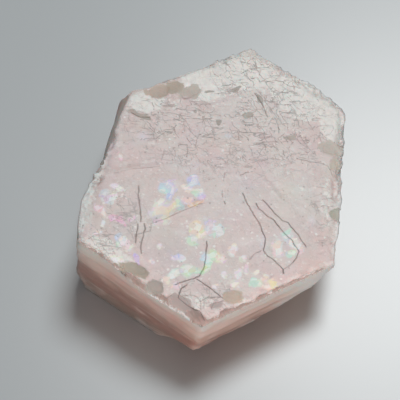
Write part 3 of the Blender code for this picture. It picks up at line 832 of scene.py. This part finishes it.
class Finish:
    """A material that is put together one node at a time."""

    def __init__(self, name):
        self.material = bpy.data.materials.new(name)
        self.material.use_nodes = True
        self.tree = self.material.node_tree
        self.tree.nodes.clear()

    def add(self, kind, values=None, **settings):
        """Adds a node, sets it up and joins or fills its sockets."""
        node = self.tree.nodes.new("ShaderNode" + kind)
        for key, value in settings.items():
            setattr(node, key, value)
        for key, value in (values or {}).items():
            if isinstance(value, bpy.types.NodeSocket):
                self.tree.links.new(value, node.inputs[key])
            else:
                node.inputs[key].default_value = value
        return node

    def crystal_places(self):
        """Object coordinates turned into the basal face's own frame, in millimetres."""
        values = {
            "Vector": self.add("TexCoord").outputs["Object"],
            "Rotation": (0.0, -FACE_LEAN, 0.0),
            "Scale": (1.0 / MM, 1.0 / MM, 1.0 / MM),
            "Location": -(FACE_TURN @ FACE_CENTRE) / MM,
        }
        return self.add("Mapping", values).outputs["Vector"]

    def stretched(self, vector, scale, turn=0.0):
        """The same places, stretched and turned in the plane of the basal face."""
        values = {"Vector": vector, "Scale": scale, "Rotation": (0.0, 0.0, math.radians(turn))}
        return self.add("Mapping", values, vector_type="TEXTURE" if turn else "POINT").outputs["Vector"]

    def value(self, name):
        """A number stored on the vertices."""
        return self.add("Attribute", attribute_name=name).outputs["Fac"]

    def paint(self, name):
        """A colour stored on the vertices, and its strength."""
        node = self.add("Attribute", attribute_name=name)
        return node.outputs["Color"], node.outputs["Alpha"]

    def noise(self, vector, size, detail=2.0, roughness=0.5, seed=0.0):
        """Cloudy noise whose bumps are about that many millimetres wide."""
        values = {"Vector": vector, "W": seed, "Scale": 1.0 / size, "Detail": detail, "Roughness": roughness}
        return self.add("TexNoise", values, noise_dimensions="4D").outputs["Fac"]

    def noise_colour(self, vector, size, detail=2.0, seed=0.0):
        """Cloudy noise with another pattern in each channel."""
        values = {"Vector": vector, "W": seed, "Scale": 1.0 / size, "Detail": detail}
        return self.add("TexNoise", values, noise_dimensions="4D").outputs["Color"]

    def patches(self, vector, size, low, high, detail=2.0, seed=0.0):
        """Soft patches where a cloudy noise is above the low value, full from the high one up."""
        return self.ramp(self.noise(vector, size, detail, seed=seed), low, high)

    def cells(self, vector, size, feature="F1", output="Distance"):
        """Cells about that many millimetres wide."""
        values = {"Vector": vector, "Scale": 1.0 / size}
        return self.add("TexVoronoi", values, feature=feature).outputs[output]

    def ramp(self, value, low, high, to_low=0.0, to_high=1.0):
        """Eases from one value to another as the input goes from low to high."""
        values = {"Value": value, "From Min": low, "From Max": high, "To Min": to_low, "To Max": to_high}
        return self.add("MapRange", values, interpolation_type="SMOOTHSTEP").outputs["Result"]

    def math(self, operation, a, b=0.0):
        """One sum of two values."""
        return self.add("Math", {0: a, 1: b}, operation=operation).outputs["Value"]

    def hue(self, value, saturation):
        """A colour whose hue runs round with the value."""
        values = {"Red": value, "Green": saturation, "Blue": 0.85}
        return self.add("CombineColor", values, mode="HSV").outputs["Color"]

    def channels(self, colour):
        """The red, green and blue of a colour."""
        return self.add("SeparateColor", {"Color": colour}).outputs

    def times(self, first, *others):
        """The product of several values."""
        for other in others:
            first = self.math("MULTIPLY", first, other)
        return first

    def most(self, first, *others):
        """The largest of several values."""
        for other in others:
            first = self.math("MAXIMUM", first, other)
        return first

    def less(self, value):
        """One less the value."""
        return self.math("SUBTRACT", 1.0, value)

    def ragged(self, value, noise_value, amount):
        """A value whose borders are made uneven by a noise."""
        push = self.times(self.math("SUBTRACT", noise_value, 0.5), amount)
        return self.math("ADD", value, push)

    def mix(self, share, a, b, blend="MIX"):
        """Two colours mixed."""
        node = self.add("Mix", data_type="RGBA", blend_type=blend, clamp_factor=True)
        for index, value in ((0, share), (6, a), (7, b)):
            if isinstance(value, bpy.types.NodeSocket):
                self.tree.links.new(value, node.inputs[index])
            elif index == 0:
                node.inputs[index].default_value = value
            else:
                node.inputs[index].default_value = (*value, 1.0)
        return node.outputs[2]

    def wander(self, vector, size, amount):
        """Places pushed about by noise, so that straight patterns run unevenly."""
        cloud = self.noise_colour(vector, size, 1.0)
        push = self.add("VectorMath", {0: cloud, 1: (0.5, 0.5, 0.5)}, operation="SUBTRACT").outputs["Vector"]
        scaled = self.add("VectorMath", {0: push, "Scale": 2.0 * amount}, operation="SCALE").outputs["Vector"]
        return self.add("VectorMath", {0: vector, 1: scaled}, operation="ADD").outputs["Vector"]

    def bump(self, height, distance, strength):
        """A bump that many millimetres high."""
        values = {"Height": height, "Distance": distance * MM, "Strength": strength}
        return self.add("Bump", values).outputs["Normal"]

    def close(self, surface, volume=None):
        """Ends the material with its surface and, if it has one, what fills it."""
        output = self.add("OutputMaterial", {"Surface": surface})
        if volume is not None:
            self.tree.links.new(volume, output.inputs["Volume"])
        return self.material


def contour(finish, places, size, width, seed):
    """Thin wandering lines, like the contours of a map, with gaps."""
    hill = finish.noise(places, size, seed=seed)
    line = finish.ramp(finish.math("ABSOLUTE", finish.math("SUBTRACT", hill, 0.5)), width, 0.0)
    return finish.times(line, finish.patches(places, size * 0.9, 0.50, 0.58, 1.0, seed + 5.0))


def crazing_lines(finish, places):
    """Fine broken lines in the skin: a wide net, squiggles, and many short, nearly level scratches."""
    net = finish.cells(finish.wander(places, 0.9, 0.3), 2.1, "DISTANCE_TO_EDGE")
    net_lines = finish.times(finish.ramp(net, 0.03, 0.0), finish.patches(places, 1.3, 0.46, 0.56, seed=3.0))
    squiggles = contour(finish, finish.wander(places, 0.4, 0.10), 0.9, 0.024, 11.0)
    loose_places = finish.wander(places, 1.2, 0.20)
    level = contour(finish, finish.stretched(loose_places, (0.24, 1.0, 1.0)), 1.0, 0.020, 23.0)
    short_level = contour(finish, finish.stretched(loose_places, (0.34, 1.0, 1.0)), 0.55, 0.022, 37.0)
    slanted = contour(finish, finish.stretched(loose_places, (3.4, 1.0, 1.0), 118.0), 1.0, 0.020, 41.0)
    few = finish.patches(places, 2.6, 0.44, 0.58, seed=29.0)
    lines = finish.most(
        finish.times(net_lines, 0.7),
        finish.times(squiggles, 0.8, few),
        level,
        finish.times(short_level, 0.8, few),
        finish.times(slanted, 0.9),
    )
    return finish.times(lines, finish.math("ADD", finish.times(finish.value("crazing"), 0.80), 0.20))


def specks(finish, places, size, radius, chance, gathered):
    """Small round specks, one to a cell, in some of the cells and only where they gather."""
    speck = finish.ramp(finish.cells(places, size), radius, radius * 0.5)
    draw = finish.channels(finish.cells(places, size, output="Color"))["Red"]
    return finish.times(speck, finish.ramp(draw, chance, chance + 0.02, 1.0, 0.0), gathered)


def body_colour(finish, places, settings, cloud, fine):
    """The body under the skin: cloudy pink with broad, faint tints, some of them faint painted reflections of
    coloured flashes.
    """
    soft = finish.noise(places, 6.0, 1.0, seed=1.0)
    face = finish.mix(finish.ramp(soft, 0.36, 0.64), settings.body, settings.pale_body)
    tint, tint_share = finish.paint("tint")
    face = finish.mix(finish.times(finish.ramp(tint_share, 0.0, 1.0), 0.6), face, tint)
    face = finish.mix(0.10, face, finish.noise_colour(places, 3.0, 0.0, 8.0), "SOFT_LIGHT")
    face = finish.mix(finish.ramp(cloud, 0.50, 0.72, 0.0, 0.45), face, PALE_CLOUD)
    return finish.mix(finish.ramp(fine, 0.46, 0.30, 0.0, 0.35), face, DARK_CLOUD)


def flecked(finish, places, face, cloud, ragged):
    """White flecks, pale flakes, and pale and dark shreds laid over the body."""
    gathered = finish.patches(places, 3.0, 0.46, 0.60, 1.0, 9.0)
    flecks = specks(finish, finish.wander(places, 0.4, 0.14), 0.62, 0.40, 0.30, gathered)
    face = finish.mix(finish.times(flecks, 0.75), face, PALE_FLECK)
    flakes = finish.times(finish.ramp(ragged, 0.575, 0.60), finish.ramp(cloud, 0.44, 0.56))
    face = finish.mix(finish.times(flakes, 0.35), face, PALE_FLAKE)
    shred_places = finish.stretched(finish.wander(places, 0.8, 0.3), (1.0, 1.9, 1.0))
    shreds = finish.noise(shred_places, 0.55, 3.0, 0.6, 47.0)
    face = finish.mix(finish.ramp(shreds, 0.60, 0.66, 0.0, 0.50), face, PALE_SHRED)
    return finish.mix(finish.ramp(shreds, 0.38, 0.32, 0.0, 0.36), face, DARK_SHRED)


def frosted(finish, places, face, settings, ragged, fine):
    """The frosted skin in its zones, along the rim and by the front strip, with a veil round it."""
    strip = finish.value("strip")
    by_strip = finish.times(
        finish.ramp(finish.ragged(strip, ragged, 3.0), -0.9, -0.5), finish.ramp(strip, -3.0, -2.2, 0.0, 0.4)
    )
    frost = finish.most(finish.value("frost"), by_strip, finish.times(finish.value("rim"), 0.55))
    frost = finish.ragged(frost, ragged, 1.7)
    face = finish.mix(finish.ramp(frost, 0.12, 0.66, 0.0, 0.70), face, VEIL)
    frost = finish.ragged(frost, finish.noise(places, 0.9, 4.0, 0.6, 43.0), 1.6)
    frost = finish.ramp(frost, 0.50, 0.72)
    tone = finish.mix(finish.ramp(fine, 0.35, 0.65), FROST_SHADE, settings.frost)
    return finish.mix(finish.times(frost, 0.80), face, tone), frost


def flashed(finish, places, face, fine):
    """Painted reflections: coloured flashes broken into small facets, each with a hue of its own and a
    painted highlight as its bright core.
    """
    flash, flash_share = finish.paint("flash")
    facet_places = finish.stretched(finish.wander(places, 1.0, 0.25), (1.45, 1.0, 1.0), 35.0)
    facet = finish.channels(finish.cells(facet_places, 0.62, output="Color"))
    lit = finish.math("SUBTRACT", flash_share, finish.times(facet["Red"], 0.62))
    flash = finish.mix(0.20, flash, finish.hue(facet["Green"], 0.60))
    face = finish.mix(finish.ramp(flash_share, 0.0, 0.6, 0.0, 0.35), face, flash)
    face = finish.mix(finish.ramp(lit, -0.08, 0.20, 0.0, 0.92), face, flash)
    # Painted highlight: a pale core where a flash is strongest.
    sparkle = finish.ramp(finish.math("ADD", facet["Blue"], fine), 0.85, 1.1)
    return finish.mix(finish.times(finish.ramp(lit, 0.22, 0.60), sparkle, 0.5), face, FLASH_CORE)


def face_colour(finish, places, settings, ragged, fine):
    """The basal face: its colour, how frosted it is, and its fine lines and pits."""
    cloud = finish.noise(places, 2.3, seed=2.0)
    face = body_colour(finish, places, settings, cloud, fine)
    face = flecked(finish, places, face, cloud, ragged)
    face, frost = frosted(finish, places, face, settings, ragged, fine)
    face = flashed(finish, places, face, fine)
    lines = crazing_lines(finish, places)
    face = finish.mix(finish.times(lines, 0.85), face, CRAZE_LINE)
    gathered = finish.patches(places, 1.8, 0.52, 0.62, seed=15.0)
    pits = specks(finish, finish.wander(places, 0.3, 0.10), 0.42, 0.34, 0.22, gathered)
    return finish.mix(finish.times(pits, 0.55), face, PIT), frost, finish.most(lines, pits)


def bare_colour(finish, places, face, ragged, fine):
    """Bare spots and the front strip laid over the skin, and where they are."""
    bare, bare_share = finish.paint("bare")
    bare_share = finish.ramp(finish.ragged(bare_share, ragged, 1.5), 0.45, 0.55)
    bare = finish.mix(finish.ramp(fine, 0.55, 0.75, 0.0, 0.5), bare, BARE_WORN)
    strip = finish.ragged(finish.value("strip"), ragged, 1.6)
    strip_share = finish.ramp(strip, -0.05, 0.05)
    long_places = finish.stretched(places, (0.35, 1.0, 1.0), 35.0)
    shade = finish.patches(long_places, 1.1, 0.35, 0.65, 3.0, 19.0)
    face = finish.mix(strip_share, face, finish.mix(shade, STRIP_DARK, STRIP_DARKEST))
    # Painted shade: a faint dark line along the step at the strip's inner edge.
    step = finish.times(finish.ramp(strip, -0.10, 0.0), finish.ramp(strip, 0.16, 0.04))
    face = finish.mix(finish.times(step, 0.28), face, STRIP_STEP_SHADE)
    face = finish.mix(finish.times(bare_share, 0.85), face, bare)
    return face, finish.most(strip_share, bare_share)


def wall_colour(finish, places, settings):
    """The prism walls and the breaks: bands of pink, tan and maroon with long streaks, partly growth bands
    and partly painted light and shade, paler near the rim where light comes in through the top and darker
    towards the floor. The right end is paler, painted light where the thin corner lets light through, and the
    left end is paler in its upper bands.
    """
    soft = finish.noise(places, 6.0, seed=21.0)
    bands = finish.ragged(finish.value("depth"), soft, 3.0)
    streaks = finish.noise(finish.stretched(places, (0.10, 0.10, 1.4)), 0.8, 4.0, 0.6, 25.0)
    blotches = finish.noise(places, 3.4, 3.0, seed=27.0)
    # Partly growth bands, partly painted light and shade: pale near the rim, darker towards the floor.
    wall = finish.mix(finish.ramp(bands, 1.0, 2.6), WALL_RIM, settings.wall)
    wall = finish.mix(finish.ramp(bands, 3.0, 4.6), wall, WALL_TAN)
    wall = finish.mix(finish.ramp(bands, 5.0, 6.8), wall, WALL_MAROON)
    wall = finish.mix(finish.ramp(bands, 8.4, 10.0), wall, WALL_FOOT)
    wall = finish.mix(finish.ramp(blotches, 0.5, 0.70, 0.0, 0.45), wall, WALL_BLOTCH)
    wall = finish.mix(finish.ramp(streaks, 0.50, 0.72, 0.0, 0.42), wall, PALE_STREAK)
    wall = finish.mix(finish.ramp(streaks, 0.46, 0.30, 0.0, 0.28), wall, DARK_STREAK)
    # Painted light: the right end is paler where the thin corner lets light through.
    across = finish.add("SeparateXYZ", {"Vector": places}).outputs["X"]
    right = finish.ramp(finish.ragged(across, soft, 6.0), 8.5, 16.0, 0.0, 0.9)
    wall = finish.mix(right, wall, PAINTED_LIGHT_RIGHT_END)
    left = finish.ramp(finish.ragged(across, soft, 4.0), -10.5, -15.5)
    wall = finish.mix(finish.times(left, finish.ramp(bands, 5.0, 3.2), 0.5), wall, LEFT_END)
    return finish.mix(finish.times(finish.value("broken"), 0.6), wall, BREAK), streaks


def crystal_finish(settings):
    """Cloudy pink beryl with a frosted, crazed skin on its basal face.

    Lamps reach through the clouded body, which takes up their light with distance.
    """
    finish = Finish(SLOT)
    places = finish.crystal_places()
    top = finish.value("top")
    below = finish.less(top)
    crack = finish.value("crack")
    fine = finish.noise(places, 0.7, 3.0, 0.6, 4.0)
    ragged = finish.noise(places, 1.2, 6.0, 0.68, 6.0)

    face, frost, lines = face_colour(finish, places, settings, ragged, fine)
    face, bare_share = bare_colour(finish, places, face, ragged, fine)
    wall, streaks = wall_colour(finish, places, settings)
    colour = finish.mix(top, wall, face)
    colour = finish.mix(finish.times(crack, 0.8), colour, settings.crack)
    # Painted highlights along the glints.
    glint = finish.times(finish.value("glint"), finish.patches(places, 0.9, 0.36, 0.50, seed=33.0))
    colour = finish.mix(glint, colour, GLINT_COLOUR)

    roughness = finish.math("ADD", 0.32, finish.times(top, 0.08))
    roughness = finish.math("ADD", roughness, finish.times(bare_share, top, 0.18))
    roughness = finish.math("ADD", roughness, finish.times(crack, 0.2))
    through = finish.math("ADD", finish.times(below, settings.see_through), finish.times(top, 0.04))

    relief_height = finish.math("ADD", finish.times(lines, -0.5), finish.times(fine, 0.35))
    relief_height = finish.math("ADD", relief_height, finish.times(frost, 0.25))
    relief_height = finish.math("ADD", relief_height, finish.times(below, streaks))
    normal = finish.bump(relief_height, 0.05, 0.6)

    beryl = finish.add("BsdfPrincipled", {
        "Base Color": colour,
        "Roughness": roughness,
        "IOR": BERYL_IOR,
        "Transmission Weight": through,
        "Subsurface Weight": 0.8,
        "Subsurface Radius": SCATTER_BY_COLOUR,
        "Subsurface Scale": settings.scatter,
        "Normal": normal,
    }).outputs["BSDF"]
    glow = finish.add("BsdfTranslucent", {"Color": colour, "Normal": normal}).outputs["BSDF"]
    lit_share = finish.times(below, settings.glow)
    lit = finish.add("MixShader", {0: lit_share, 1: beryl, 2: glow}).outputs["Shader"]
    lamp_side = finish.add("BsdfTransparent", {"Color": (*settings.lamp_tint, 1.0)}).outputs["BSDF"]
    for_lamps = finish.add("LightPath").outputs["Is Shadow Ray"]
    surface = finish.add("MixShader", {0: for_lamps, 1: lit, 2: lamp_side}).outputs["Shader"]
    values = {"Color": (*settings.absorb_tint, 1.0), "Density": settings.absorb_density}
    return finish.close(surface, finish.add("VolumeAbsorption", values).outputs["Volume"])


def floor_finish(settings):
    """A plain, satin floor."""
    finish = Finish("floor")
    values = {
        "Base Color": (*settings.floor, 1.0),
        "Roughness": FLOOR_ROUGHNESS,
        "Specular IOR Level": FLOOR_SHINE,
    }
    return finish.close(finish.add("BsdfPrincipled", values).outputs["BSDF"])


class MORGANITE_OT_crystal(bpy.types.Operator):
    """Makes the finely shaped crystal that stands for the CAD solid"""

    bl_idname = "morganite.crystal"
    bl_label = "Dress the Crystal"

    def execute(self, context):
        bm = refined_copy(NODE)
        shape_surface(bm)
        mesh = bpy.data.meshes.new("crystal_surface")
        bm.to_mesh(mesh)
        bm.free()
        mesh.shade_smooth()
        mesh.set_sharp_from_angle(angle=SHARP_ANGLE)
        mark_surface(mesh)
        mesh.materials.append(crystal_finish(context.scene.morganite_crystal))
        crystal = bpy.data.objects.new("crystal_surface", mesh)
        context.scene.collection.objects.link(crystal)
        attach(crystal, BODY)
        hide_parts(NODE)
        return {"FINISHED"}


def add_floor(settings):
    """A level floor that runs out of every view."""
    bm = bmesh.new()
    bmesh.ops.create_grid(bm, x_segments=1, y_segments=1, size=FLOOR_HALF)
    mesh = bpy.data.meshes.new("floor")
    bm.to_mesh(mesh)
    bm.free()
    mesh.materials.append(floor_finish(settings))
    floor = bpy.data.objects.new("floor", mesh)
    bpy.context.scene.collection.objects.link(floor)


def add_area_light(name, shape, power, colour, direction, distance):
    """A soft light that way from the basal face, aimed at it."""
    light = bpy.data.lights.new(name, "AREA")
    light.shape = shape
    light.energy = power
    light.color = colour
    lamp = bpy.data.objects.new(name, light)
    lamp.location = FACE_CENTRE + direction * distance
    lamp.rotation_euler = direction.to_track_quat("Z", "Y").to_euler()
    bpy.context.scene.collection.objects.link(lamp)
    return lamp


def add_key_light(settings):
    """One soft round light, high behind the crystal and to the right."""
    turn, lean, distance = settings.key_turn, settings.key_lean, settings.light_distance
    direction = Vector((math.sin(turn) * math.sin(lean), math.cos(turn) * math.sin(lean), math.cos(lean)))
    lamp = add_area_light("key", "DISK", settings.key_power, KEY_COLOUR, direction, distance)
    lamp.data.size = 2.0 * distance * math.tan(settings.key_spread)


def add_fill_light(settings):
    """A low, wide light in front that reaches the walls and hardly touches the floor."""
    direction = Vector(FILL_DIRECTION).normalized()
    lamp = add_area_light(
        "fill", "RECTANGLE", settings.fill_power, FILL_COLOUR, direction, settings.light_distance
    )
    lamp.data.size, lamp.data.size_y = FILL_SIZE
    lamp.visible_camera = False
    lamp.visible_glossy = False


def add_ambient(settings):
    """Even light from all round."""
    world = bpy.data.worlds.new("room")
    world.use_nodes = True
    background = world.node_tree.nodes["Background"]
    background.inputs["Color"].default_value = AMBIENT_COLOUR
    background.inputs["Strength"].default_value = settings.ambient
    bpy.context.scene.world = world


def add_camera(settings):
    """The camera at the photograph's angle, aimed at the basal face."""
    data = bpy.data.cameras.new("camera")
    data.lens = settings.lens
    data.sensor_width = SENSOR_WIDTH
    data.clip_start = CLIP_START
    camera = bpy.data.objects.new("camera", data)
    back = Vector((0.0, -math.cos(settings.camera_elevation), math.sin(settings.camera_elevation)))
    camera.location = FACE_CENTRE + back * settings.camera_distance
    camera.rotation_euler = (math.pi / 2.0 - settings.camera_elevation, 0.0, 0.0)
    bpy.context.scene.collection.objects.link(camera)
    bpy.context.scene.camera = camera


class MORGANITE_OT_stage(bpy.types.Operator):
    """Sets the floor, the light and the camera"""

    bl_idname = "morganite.stage"
    bl_label = "Set the Stage"

    def execute(self, context):
        settings = context.scene.morganite_stage
        add_floor(settings)
        add_key_light(settings)
        add_fill_light(settings)
        add_ambient(settings)
        add_camera(settings)
        context.scene.view_settings.view_transform = "Standard"
        return {"FINISHED"}


class MORGANITE_PT_panel(bpy.types.Panel):
    """Sidebar panel with the crystal's and the stage's steps"""

    bl_idname = "MORGANITE_PT_panel"
    bl_label = "Rough Morganite"
    bl_space_type = "VIEW_3D"
    bl_region_type = "UI"
    bl_category = "Morganite"

    def draw(self, context):
        layout = self.layout
        for settings in (context.scene.morganite_crystal, context.scene.morganite_stage):
            for name in settings.__annotations__:
                layout.prop(settings, name)
        layout.operator(MORGANITE_OT_crystal.bl_idname)
        layout.operator(MORGANITE_OT_stage.bl_idname)


CLASSES = (CrystalSettings, StageSettings, MORGANITE_OT_crystal, MORGANITE_OT_stage, MORGANITE_PT_panel)


def register():
    """Makes the settings, the steps and the panel known to Blender."""
    for cls in CLASSES:
        bpy.utils.register_class(cls)
    bpy.types.Scene.morganite_crystal = PointerProperty(type=CrystalSettings)
    bpy.types.Scene.morganite_stage = PointerProperty(type=StageSettings)


def unregister():
    """Takes them out again."""
    del bpy.types.Scene.morganite_stage
    del bpy.types.Scene.morganite_crystal
    for cls in reversed(CLASSES):
        bpy.utils.unregister_class(cls)


def main():
    """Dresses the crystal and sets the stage."""
    register()
    bpy.ops.morganite.crystal()
    bpy.ops.morganite.stage()


if __name__ == "__main__":
    main()
